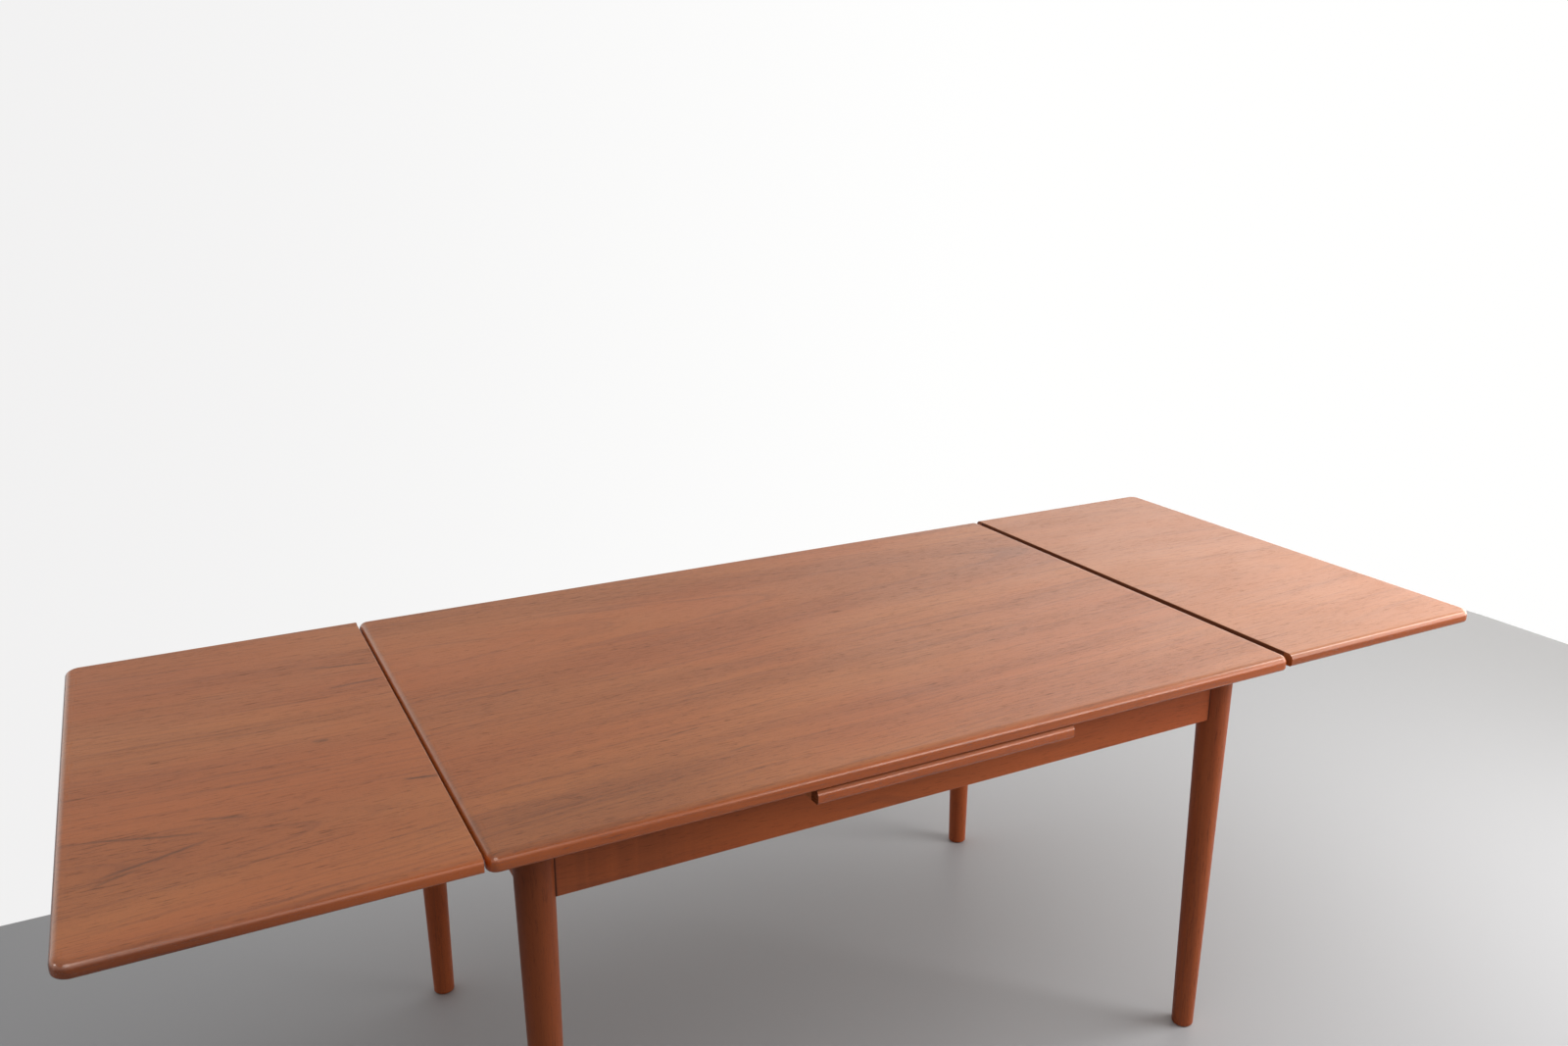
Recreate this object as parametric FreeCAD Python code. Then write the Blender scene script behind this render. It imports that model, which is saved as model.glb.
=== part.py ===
"""Draw-leaf dining table in teak, shown with both leaves drawn out.

A fixed frame of four turned legs, four aprons and two cross rails carries a narrow centre board.
The main top lies loose on the centre board, held in place by two guide pegs, and leaves a slot of
one board's thickness over the frame. Each leaf is screwed to two sloping lopers. They run in
notches of the end apron and in slots of the cross rails, so that the leaf rises by one top
thickness while it is drawn out.

Millimetres. Z is up, X runs along the table and the origin is on the floor under its centre.
"""
import FreeCAD, Part
import math
import os

os.makedirs("parts", exist_ok=True)

# Main top
table_height = 735.0
top_length = 1332.0
top_width = 884.0
top_thick = 24.0
top_corner_radius = 15.0
upper_round = 11.0
lower_round = 5.0
lipping_width = 18.0

# Leaves
leaf_length = 454.0
leaf_thick = 21.5
leaf_proud = 1.5
leaf_gap = 4.0
leaf_corner_radius = 22.0
leaf_upper_round = 10.0
leaf_lower_round = 5.0
leaf_arris = 1.0

# Fixed centre board
board_length = 437.0
board_thick = 22.0
board_upper_round = 9.0
board_lower_round = 6.0
board_lipping_width = 20.0
board_end_gap = 1.0

# Legs
leg_top_diameter = 54.0
leg_foot_diameter = 37.5
leg_inset_end = 76.0
leg_inset_side = 82.0
foot_round = 4.0
leg_top_arris = 1.5

# Aprons and their tenons
apron_height = 75.5
apron_thick = 24.0
apron_setback = 14.0
apron_arris = 1.0
tenon_thick = 10.0
tenon_height = 46.0
tenon_root = 6.0
tenon_end_gap = 6.0

# Cross rails
rail_thick = 22.0
rail_height = 67.0
rail_housing = 8.0
rail_from_board_end = 18.5

# Lopers, the sloping bearers of the leaves
loper_width = 22.0
loper_tail_height = 32.0
loper_notch_depth = 27.0
loper_tail_overlap = 40.0
loper_tip_inset = 30.0
loper_tip_height = 16.0
loper_tip_taper = 50.0
loper_arris = 1.0
loper_step_back = 1.0
loper_pair_pitch = 30.0
loper_from_block = 8.0

# Stop pegs in the lopers' tails
stop_peg_diameter = 8.0
stop_peg_reach = 9.0
stop_play = 6.0

# Guide pegs of the main top
guide_peg_diameter = 18.0
guide_peg_inset = 39.0
guide_peg_drop = 75.0
guide_peg_socket = 12.0
guide_peg_arris = 2.0

# Corner blocks
block_inner_reach = 45.0
block_outer_reach = 75.0
block_height = 46.0
block_drop = 10.0
block_screw_place = 57.0

# Screws
screw_shank_diameter = 4.0
screw_head_diameter = 8.0
screw_head_height = 2.6
screw_slot_width = 1.2
screw_slot_depth = 1.1
counterbore_diameter = 10.0
loper_screw_length = 38.0
loper_screw_seat = 25.0
board_screw_length = 40.0
board_screw_seat = 27.0
board_screw_inset = 37.0
block_screw_length = 25.0
block_screw_seat = 3.0

# Clearances
running_gap = 0.3
side_gap = 0.4
rail_slot_gap = 2.0
far_slot_gap = 1.0
peg_hole_gap = 0.3

# One overrun serves every cut
overrun = 5.0

# Shares of a leaf's length at which its loper screws stand
loper_screw_shares = (0.11, 0.46, 0.81)

# Heights
top_under = table_height - top_thick
frame_top = top_under - board_thick
apron_under = frame_top - apron_height
rail_under = frame_top - rail_height
leaf_top = table_height + leaf_proud
leaf_under = leaf_top - leaf_thick
stowed_under = frame_top + (board_thick - leaf_thick) / 2

# Half sizes and distances from the centre
top_end = top_length / 2
top_side = top_width / 2
leaf_inner = top_end + leaf_gap
leaf_outer = leaf_inner + leaf_length
board_end = board_length / 2
leg_x = top_end - leg_inset_end
leg_y = top_side - leg_inset_side
leg_top_radius = leg_top_diameter / 2
leg_foot_radius = leg_foot_diameter / 2
apron_face_y = leg_y + leg_top_radius - apron_setback
apron_back_y = apron_face_y - apron_thick
apron_face_x = leg_x + leg_top_radius - apron_setback
apron_back_x = apron_face_x - apron_thick
guide_peg_offset = apron_back_y - guide_peg_inset
board_screw_offset = apron_back_y - board_screw_inset
left_loper_offset = apron_back_y - block_outer_reach - loper_from_block - loper_width / 2
right_loper_offset = left_loper_offset - loper_pair_pitch
rail_x = board_end - rail_from_board_end
rail_inner = rail_x - rail_thick / 2
rail_outer = rail_x + rail_thick / 2

# Slope of the lopers: the rise from stowed to drawn out, over the travel
leaf_run = leaf_inner - (board_end + board_end_gap)
leaf_rise = leaf_under - stowed_under
slope = leaf_rise / leaf_run
travel = math.hypot(leaf_run, leaf_rise)


def loper_low(x):
    """Height of a loper's lower edge at x, which is also the line that it slides along."""
    return frame_top - loper_notch_depth + slope * (x - (apron_face_x + apron_back_x) / 2)


def loper_high(x):
    """Height of the upper edge of a loper's tail at x, parallel to its lower edge."""
    return loper_low(x) + loper_tail_height


def block(x0, x1, y0, y1, z0, z1):
    """A box between two corners."""
    corner = FreeCAD.Vector(min(x0, x1), min(y0, y1), min(z0, z1))
    return Part.makeBox(abs(x1 - x0), abs(y1 - y0), abs(z1 - z0), corner)


def plan_prism(points, z0, z1):
    """A prism over a polygon that is drawn in plan."""
    corners = [FreeCAD.Vector(x, y, z0) for x, y in points]
    face = Part.Face(Part.makePolygon(corners + corners[:1]))
    return face.extrude(FreeCAD.Vector(0, 0, z1 - z0))


def side_prism(points, y0, y1):
    """A prism across the table over a polygon that is drawn in side view."""
    corners = [FreeCAD.Vector(x, y0, z) for x, z in points]
    face = Part.Face(Part.makePolygon(corners + corners[:1]))
    return face.extrude(FreeCAD.Vector(0, y1 - y0, 0))


def mirrored(shape, sx, sy):
    """The shape in another quadrant: sx and sy are the signs of its x and y."""
    origin = FreeCAD.Vector(0, 0, 0)
    if sx < 0:
        shape = shape.mirror(origin, FreeCAD.Vector(1, 0, 0))
    if sy < 0:
        shape = shape.mirror(origin, FreeCAD.Vector(0, 1, 0))
    return shape


def one_solid(shape):
    """The largest solid of a result, with its split faces joined."""
    solid = max(shape.Solids, key=lambda each: each.Volume)
    return solid.removeSplitter()


def edges_at(shape, chosen):
    """The edges whose centre of mass passes the test."""
    return [edge for edge in shape.Edges if chosen(edge.CenterOfMass)]


def save(node, shape):
    """Writes one sub-part, and says how large it is."""
    solids = shape.Solids
    if not shape.isValid() or not solids:
        raise ValueError(node + " is not a valid solid")
    if len(solids) == 1:
        shape = solids[0]
    shape.exportStep(os.path.join("parts", node + ".step"))
    size = shape.BoundBox
    print(f"{node}: {len(solids)} solid, {size.XLength:.1f} x {size.YLength:.1f} x {size.ZLength:.1f}")


def rounded_slab(x0, x1, y0, y1, z0, z1, corner, upper, lower, square_end=None):
    """A board with rounded plan corners and a round-over on its upper and lower edges.

    The end at x = square_end, where given, keeps its square edges and corners.
    """
    slab = block(x0, x1, y0, y1, z0, z1)
    near = corner / 100

    def free(x):
        return square_end is None or abs(x - square_end) > near

    def upright(centre):
        at_end = min(abs(centre.x - x0), abs(centre.x - x1)) < near
        at_side = min(abs(centre.y - y0), abs(centre.y - y1)) < near
        return at_end and at_side and free(centre.x)

    slab = slab.makeFillet(corner, edges_at(slab, upright))
    for height, radius in ((z1, upper), (z0, lower)):
        def level(centre, height=height):
            return abs(centre.z - height) < near and free(centre.x)
        slab = slab.makeFillet(radius, edges_at(slab, level))
    return slab


def frame_of_lipping(slab, x0, x1, y0, y1, z0, z1, square_end=None):
    """Splits a rounded slab into its panel and its mitred lipping strips.

    An end that has no lipping is left square: there the strips of the two long sides run through.
    """
    width = lipping_width
    x0_cut = x0 if square_end == x0 else x0 + width
    x1_cut = x1 if square_end == x1 else x1 - width
    pieces = {
        "panel": block(x0_cut, x1_cut, y0 + width, y1 - width, z0, z1),
        "front": plan_prism([(x0, y0), (x1, y0), (x1_cut, y0 + width), (x0_cut, y0 + width)], z0, z1),
        "back": plan_prism([(x0, y1), (x0_cut, y1 - width), (x1_cut, y1 - width), (x1, y1)], z0, z1),
    }
    if square_end != x0:
        corners = [(x0, y0), (x0_cut, y0 + width), (x0_cut, y1 - width), (x0, y1)]
        pieces["left"] = plan_prism(corners, z0, z1)
    if square_end != x1:
        corners = [(x1, y0), (x1, y1), (x1_cut, y1 - width), (x1_cut, y0 + width)]
        pieces["right"] = plan_prism(corners, z0, z1)
    return {name: one_solid(slab.common(piece)) for name, piece in pieces.items()}


def screw(length, place, direction):
    """A slotted countersunk wood screw. Its head's flat face is at place and its point lies ahead."""
    shank = screw_shank_diameter / 2
    head = Part.makeCone(screw_head_diameter / 2, shank, screw_head_height)
    straight = length - screw_head_height - screw_shank_diameter
    body = Part.makeCylinder(shank, straight, FreeCAD.Vector(0, 0, screw_head_height))
    point = Part.makeCone(shank, 0, screw_shank_diameter, FreeCAD.Vector(0, 0, screw_head_height + straight))
    half = screw_head_diameter / 2
    slot = block(-half, half, -screw_slot_width / 2, screw_slot_width / 2, 0, screw_slot_depth)
    solid = head.fuse(body).fuse(point).removeSplitter().cut(slot)
    solid.Placement = FreeCAD.Placement(place, FreeCAD.Rotation(FreeCAD.Vector(0, 0, 1), direction))
    return solid


def screw_hole(length, place, direction, bore_back):
    """The room of a screw, with a counterbore that runs back from its head by bore_back."""
    shank = screw_shank_diameter / 2
    head = Part.makeCone(screw_head_diameter / 2, shank, screw_head_height)
    straight = length - screw_head_height - screw_shank_diameter
    body = Part.makeCylinder(shank, straight, FreeCAD.Vector(0, 0, screw_head_height))
    point = Part.makeCone(shank, 0, screw_shank_diameter, FreeCAD.Vector(0, 0, screw_head_height + straight))
    bore = Part.makeCylinder(counterbore_diameter / 2, bore_back, FreeCAD.Vector(0, 0, -bore_back))
    solid = head.fuse(body).fuse(point).fuse(bore)
    solid.Placement = FreeCAD.Placement(place, FreeCAD.Rotation(FreeCAD.Vector(0, 0, 1), direction))
    return solid


up = FreeCAD.Vector(0, 0, 1)


def guide_peg_places():
    """Where the main top's two guide pegs stand, front one first."""
    return {"front": -guide_peg_offset, "back": guide_peg_offset}


def make_main_top():
    """The floating top: a veneered panel in four mitred lipping strips, with two guide pegs."""
    size = (-top_end, top_end, -top_side, top_side, top_under, table_height)
    slab = rounded_slab(*size, top_corner_radius, upper_round, lower_round)
    pieces = frame_of_lipping(slab, *size)
    panel = pieces.pop("panel")
    radius = guide_peg_diameter / 2
    for name, y in guide_peg_places().items():
        foot = FreeCAD.Vector(0, y, top_under - guide_peg_drop)
        peg = Part.makeCylinder(radius, guide_peg_drop + guide_peg_socket, foot)
        peg = peg.makeChamfer(guide_peg_arris, edges_at(peg, lambda c: abs(c.z - foot.z) < guide_peg_arris))
        panel = panel.cut(Part.makeCylinder(radius, guide_peg_socket, FreeCAD.Vector(0, y, top_under)))
        save("guide_peg_" + name, peg)
    save("main_top_panel", one_solid(panel))
    for name, strip in pieces.items():
        save("main_top_lipping_" + name, strip)


def make_centre_board():
    """The fixed board between the stowed leaves, with a rounded solid edge at the front and back."""
    slab = block(-board_end, board_end, -top_side, top_side, frame_top, top_under)
    near = board_lower_round / 2
    for height, radius in ((top_under, board_upper_round), (frame_top, board_lower_round)):
        def long_edge(centre, height=height):
            return abs(centre.z - height) < near and abs(abs(centre.y) - top_side) < near
        slab = slab.makeFillet(radius, edges_at(slab, long_edge))
    core_side = top_side - board_lipping_width
    core = block(-board_end, board_end, -core_side, core_side, frame_top, top_under)
    for y in guide_peg_places().values():
        hole = Part.makeCylinder(guide_peg_diameter / 2 + peg_hole_gap, board_thick, FreeCAD.Vector(0, y, frame_top))
        core = core.cut(hole)
    for place in board_screw_places():
        core = core.cut(screw_hole(board_screw_length, place, up, overrun))
    save("centre_board", one_solid(core))
    for name, sy in (("front", -1), ("back", 1)):
        strip = block(-board_end, board_end, sy * core_side, sy * top_side, frame_top, top_under)
        save("centre_board_edge_" + name, one_solid(slab.common(strip)))


def board_screw_places():
    """Where the heads of the screws stand that hold the centre board down on the cross rails."""
    seat = frame_top - board_screw_seat
    rows = (-board_screw_offset, 0, board_screw_offset)
    return [FreeCAD.Vector(sx * rail_x, y, seat) for sx in (-1, 1) for y in rows]


def tenon(along_x):
    """The tenon at the corner where x and y are positive: of a long apron, or of an end apron."""
    middle_z = (frame_top + apron_under) / 2
    z0 = middle_z - tenon_height / 2
    z1 = middle_z + tenon_height / 2
    if along_x:
        middle_y = (apron_face_y + apron_back_y) / 2
        root = leg_x - leg_top_radius - tenon_root
        return block(root, leg_x - tenon_end_gap, middle_y - tenon_thick / 2, middle_y + tenon_thick / 2, z0, z1)
    middle_x = (apron_face_x + apron_back_x) / 2
    root = leg_y - leg_top_radius - tenon_root
    return block(middle_x - tenon_thick / 2, middle_x + tenon_thick / 2, root, leg_y - tenon_end_gap, z0, z1)


def leg_cone():
    """The turned leg at the corner where x and y are positive, before its joints are cut."""
    cone = Part.makeCone(leg_foot_radius, leg_top_radius, frame_top, FreeCAD.Vector(leg_x, leg_y, 0))
    cone = cone.makeFillet(foot_round, edges_at(cone, lambda c: abs(c.z) < foot_round))
    return cone.makeChamfer(leg_top_arris, edges_at(cone, lambda c: abs(c.z - frame_top) < leg_top_arris))


def make_legs():
    """Four turned, tapered legs, each mortised for two tenons."""
    leg = one_solid(leg_cone().cut(tenon(True)).cut(tenon(False)))
    for name, sx, sy in corners():
        save("leg_" + name, mirrored(leg, sx, sy))


def corners():
    """The four corners of the frame, with the signs of their x and y."""
    return [("front_left", -1, -1), ("front_right", 1, -1), ("back_left", -1, 1), ("back_right", 1, 1)]


def block_screws():
    """Place and direction of the two screws in the corner block where x and y are positive."""
    into_block = block_outer_reach - block_screw_place - block_screw_seat
    middle_z = frame_top - block_drop - block_height / 2
    to_side = FreeCAD.Vector(apron_back_x - block_screw_place, apron_back_y - into_block, middle_z)
    to_end = FreeCAD.Vector(apron_back_x - into_block, apron_back_y - block_screw_place, middle_z)
    return [(to_side, FreeCAD.Vector(0, 1, 0)), (to_end, FreeCAD.Vector(1, 0, 0))]


def block_screw_holes():
    """The room that the corner block's screws take."""
    return [screw_hole(block_screw_length, place, way, block_outer_reach) for place, way in block_screws()]


def make_long_aprons():
    """The two long aprons, tenoned into the legs and housed for the cross rails."""
    apron = block(-leg_x, leg_x, apron_back_y, apron_face_y, apron_under, frame_top)
    near = apron_arris / 2
    lower = edges_at(apron, lambda c: abs(c.z - apron_under) < near and abs(c.x) < near)
    apron = apron.makeChamfer(apron_arris, lower)
    for sx in (-1, 1):
        apron = apron.cut(mirrored(leg_cone(), sx, 1))
        apron = apron.fuse(mirrored(tenon(True), sx, 1))
        apron = apron.cut(block(sx * rail_inner, sx * rail_outer, apron_back_y, apron_back_y + rail_housing,
                                rail_under, frame_top))
        apron = apron.cut(mirrored(block_screw_holes()[0], sx, 1))
    apron = one_solid(apron)
    save("long_apron_back", apron)
    save("long_apron_front", mirrored(apron, 1, -1))


def loper_slot(x0, x1, offset, half, low_gap, high):
    """Room for a loper: from its sliding line less a gap up to the given line, about both offsets."""
    points = [(x0, loper_low(x0) - low_gap), (x1, loper_low(x1) - low_gap), (x1, high(x1)), (x0, high(x0))]
    return [side_prism(points, y - half, y + half) for y in (-offset, offset)]


def make_end_aprons():
    """The two end aprons, tenoned into the legs and notched from above for the lopers."""
    for name, sx, offset in (("right", 1, right_loper_offset), ("left", -1, left_loper_offset)):
        apron = block(apron_back_x, apron_face_x, -leg_y, leg_y, apron_under, frame_top)
        near = apron_arris / 2
        lower = edges_at(apron, lambda c: abs(c.z - apron_under) < near and abs(c.y) < near)
        apron = apron.makeChamfer(apron_arris, lower)
        for sy in (-1, 1):
            apron = apron.cut(mirrored(leg_cone(), 1, sy))
            apron = apron.fuse(mirrored(tenon(False), 1, sy))
            apron = apron.cut(mirrored(block_screw_holes()[1], 1, sy))
        half = loper_width / 2 + side_gap
        above = lambda x: frame_top + overrun
        for slot in loper_slot(apron_back_x - overrun, apron_face_x + overrun, offset, half, running_gap, above):
            apron = apron.cut(slot)
        save("end_apron_" + name, mirrored(one_solid(apron), sx, 1))


def make_cross_rails():
    """The two cross rails under the board's ends, with a slot for each near loper and each far tail."""
    reach = apron_back_y + rail_housing
    for name, sx, near_offset, far_offset, far_side in (
            ("right", 1, right_loper_offset, left_loper_offset, 1),
            ("left", -1, left_loper_offset, right_loper_offset, -1)):
        rail = block(rail_inner, rail_outer, -reach, reach, rail_under, frame_top)
        half = loper_width / 2 + side_gap
        bearing = lambda x: loper_high(x) + running_gap
        for slot in loper_slot(rail_inner - overrun, rail_outer + overrun, near_offset, half, rail_slot_gap, bearing):
            rail = rail.cut(slot)
        rail_top_of_tail = loper_high(-rail_inner) + far_slot_gap
        for sy in (-1, 1):
            inner = far_offset - loper_width / 2 - far_slot_gap
            outer = far_offset + loper_width / 2 + far_slot_gap
            if far_side > 0:
                outer += stop_peg_reach
            else:
                inner -= stop_peg_reach
            rail = rail.cut(block(rail_inner - overrun, rail_outer + overrun, sy * inner, sy * outer,
                                  rail_under - overrun, rail_top_of_tail))
        rail = mirrored(rail, sx, 1)
        for place in board_screw_places():
            if place.x * sx > 0:
                rail = rail.cut(screw_hole(board_screw_length, place, up, rail_height))
        save("cross_rail_" + name, one_solid(rail))


def make_corner_blocks():
    """A block across each inner corner, behind the leg, screwed to both aprons."""
    z1 = frame_top - block_drop
    z0 = z1 - block_height
    a = block_inner_reach
    b = block_outer_reach
    points = [(apron_back_x - a, apron_back_y), (apron_back_x - b, apron_back_y),
              (apron_back_x, apron_back_y - b), (apron_back_x, apron_back_y - a)]
    piece = plan_prism(points, z0, z1)
    for hole in block_screw_holes():
        piece = piece.cut(hole)
    piece = one_solid(piece)
    screws = []
    for name, sx, sy in corners():
        save("corner_block_" + name, mirrored(piece, sx, sy))
        for place, way in block_screws():
            screws.append(mirrored(screw(block_screw_length, place, way), sx, sy))
    save("corner_block_screws", Part.makeCompound(screws))


def loper_profile():
    """Side outline of a right-hand loper with its leaf drawn out."""
    tail = rail_inner - loper_tail_overlap
    step = leaf_inner + loper_step_back
    tip = leaf_outer - loper_tip_inset
    return [(tail, loper_low(tail) + loper_arris), (tail + loper_arris, loper_low(tail + loper_arris)),
            (tip - loper_tip_taper, loper_low(tip - loper_tip_taper)), (tip, leaf_under - loper_tip_height),
            (tip, leaf_under), (step, leaf_under), (step, loper_high(step)), (tail, loper_high(tail))]


def loper_screw_places(offset):
    """Where the screw heads of a right-hand leaf's two lopers stand."""
    seat = leaf_under - loper_screw_seat
    spots = [leaf_inner + share * leaf_length for share in loper_screw_shares]
    return [FreeCAD.Vector(x, y, seat) for x in spots for y in (-offset, offset)]


def make_leaf(name, sx, offset, peg_side):
    """A leaf with its lipping, its two lopers, their stop pegs and their screws.

    peg_side is 1 where a stop peg points away from the table's middle line, and -1 where it points to it.
    """
    size = (leaf_inner, leaf_outer, -top_side, top_side, leaf_under, leaf_top)
    slab = rounded_slab(*size, leaf_corner_radius, leaf_upper_round, leaf_lower_round, square_end=leaf_inner)
    near = leaf_arris / 2

    def inner_edge(centre):
        return abs(centre.x - leaf_inner) < near and abs(centre.z - leaf_top) < near

    slab = slab.makeChamfer(leaf_arris, edges_at(slab, inner_edge))
    pieces = frame_of_lipping(slab, *size, square_end=leaf_inner)
    panel = pieces.pop("panel")
    holes = [screw_hole(loper_screw_length, place, up, loper_notch_depth) for place in loper_screw_places(offset)]
    for hole in holes:
        panel = panel.cut(hole)
    save(name + "_leaf_panel", mirrored(one_solid(panel), sx, 1))
    labels = {"front": "_leaf_lipping_front", "back": "_leaf_lipping_back", "right": "_leaf_lipping_end"}
    for key, label in labels.items():
        save(name + label, mirrored(pieces[key], sx, 1))

    peg_x = rail_inner - stop_play - stop_peg_diameter / 2
    peg_z = (loper_low(peg_x) + loper_high(peg_x)) / 2
    pegs = []
    for side, sy in (("front", -1), ("back", 1)):
        middle = sy * offset
        loper = side_prism(loper_profile(), middle - loper_width / 2, middle + loper_width / 2)
        for hole in holes:
            loper = loper.cut(hole)
        start = FreeCAD.Vector(peg_x, middle - sy * peg_side * loper_width / 2, peg_z)
        way = FreeCAD.Vector(0, sy * peg_side, 0)
        peg = Part.makeCylinder(stop_peg_diameter / 2, loper_width + stop_peg_reach, start, way)
        loper = loper.cut(peg)
        pegs.append(mirrored(peg, sx, 1))
        save(name + "_loper_" + side, mirrored(one_solid(loper), sx, 1))
    save(name + "_loper_stop_pegs", Part.makeCompound(pegs))
    screws = [screw(loper_screw_length, place, up) for place in loper_screw_places(offset)]
    save(name + "_loper_screws", mirrored(Part.makeCompound(screws), sx, 1))


make_main_top()
make_centre_board()
make_legs()
make_long_aprons()
make_end_aprons()
make_cross_rails()
make_corner_blocks()
make_leaf("right", 1, right_loper_offset, -1)
make_leaf("left", -1, left_loper_offset, 1)
save("board_screws", Part.makeCompound([screw(board_screw_length, place, up) for place in board_screw_places()]))
print(f"loper slope {math.degrees(math.atan(slope)):.2f} degrees, travel {travel:.1f}")
print(f"lower edge at the stowed tail end {loper_low(rail_inner - loper_tail_overlap - leaf_run):.1f}")
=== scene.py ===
# %% [markdown]
# # An extending table in oiled teak
# The real table is a draw-leaf table: a main top lies between two leaves that slide out on sloping arms.
# Its pieces were drawn as solids, and they are loaded here as a fixed frame that nothing moves.
# Blender adds what the solids lack: the finish of each wood, and rounded edges that shade without facets.

# %% Load the fixed frame
import math

import bpy
import numpy as np
from mathutils import Matrix, Vector


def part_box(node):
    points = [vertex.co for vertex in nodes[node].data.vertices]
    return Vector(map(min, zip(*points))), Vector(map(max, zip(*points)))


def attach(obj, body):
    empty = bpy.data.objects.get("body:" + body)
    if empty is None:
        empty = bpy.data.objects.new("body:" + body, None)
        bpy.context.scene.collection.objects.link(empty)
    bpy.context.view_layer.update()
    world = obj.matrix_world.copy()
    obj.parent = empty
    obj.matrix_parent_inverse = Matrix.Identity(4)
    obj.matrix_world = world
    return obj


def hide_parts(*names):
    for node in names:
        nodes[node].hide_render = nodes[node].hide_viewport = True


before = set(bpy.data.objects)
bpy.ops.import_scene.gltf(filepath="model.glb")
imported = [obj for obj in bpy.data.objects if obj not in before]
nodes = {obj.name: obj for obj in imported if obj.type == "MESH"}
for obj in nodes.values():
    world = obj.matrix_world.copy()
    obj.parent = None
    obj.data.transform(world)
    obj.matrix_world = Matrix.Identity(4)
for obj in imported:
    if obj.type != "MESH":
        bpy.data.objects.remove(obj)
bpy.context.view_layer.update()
MM = 0.001

# %% [markdown]
# ## The camera
# A photograph of a table looks right only if the camera stands where the photographer stood.
# The place and the three turns were found from the straight edges of the top and from the feet.
# The lens follows from how large the table is in the picture: pixels of focal length, over the
# picture's width, times the width of the sensor.

# %% Place the camera
picture_width = 1600
focal_pixels = 1303.4
sensor_width = 36.0
camera_place = Vector((-0.96288, -1.79233, 1.54716))
camera_yaw = 0.47474
camera_pitch = -0.28983
camera_roll = -0.00381


def camera_matrix(place, yaw, pitch, roll):
    """Looks along +Y, turned right by yaw, then up by pitch, then rolled clockwise.

    The camera's own axes are its right, its up and the way back from what it sees,
    and they are the columns of the matrix.
    """
    ahead = Vector((math.sin(yaw) * math.cos(pitch), math.cos(yaw) * math.cos(pitch), math.sin(pitch)))
    level_right = Vector((math.cos(yaw), -math.sin(yaw), 0.0))
    level_up = level_right.cross(ahead)
    right = math.cos(roll) * level_right + math.sin(roll) * level_up
    up = -math.sin(roll) * level_right + math.cos(roll) * level_up
    turn = Matrix((right, up, -ahead)).transposed()
    return Matrix.Translation(place) @ turn.to_4x4()


def new_object(name, data):
    """An object that holds the data, linked into the scene."""
    thing = bpy.data.objects.new(name, data)
    bpy.context.scene.collection.objects.link(thing)
    return thing


camera_data = bpy.data.cameras.new("camera")
camera_data.sensor_width = sensor_width
camera_data.lens = focal_pixels / picture_width * sensor_width
camera = new_object("camera", camera_data)
camera.matrix_world = camera_matrix(camera_place, camera_yaw, camera_pitch, camera_roll)
bpy.context.scene.camera = camera
bpy.context.scene.view_settings.view_transform = "Standard"
print("lens in millimetres:", round(camera_data.lens, 2))

# %% [markdown]
# ## Writing node trees
# A shader is a chain of small nodes, and each node takes several lines to make and to join.
# This helper adds a node, sets its plain values and joins its sockets in one call.
# Noise stretched along the grain, a soft step and a mix of two colours come back all the time in wood,
# so they have a method each.


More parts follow.
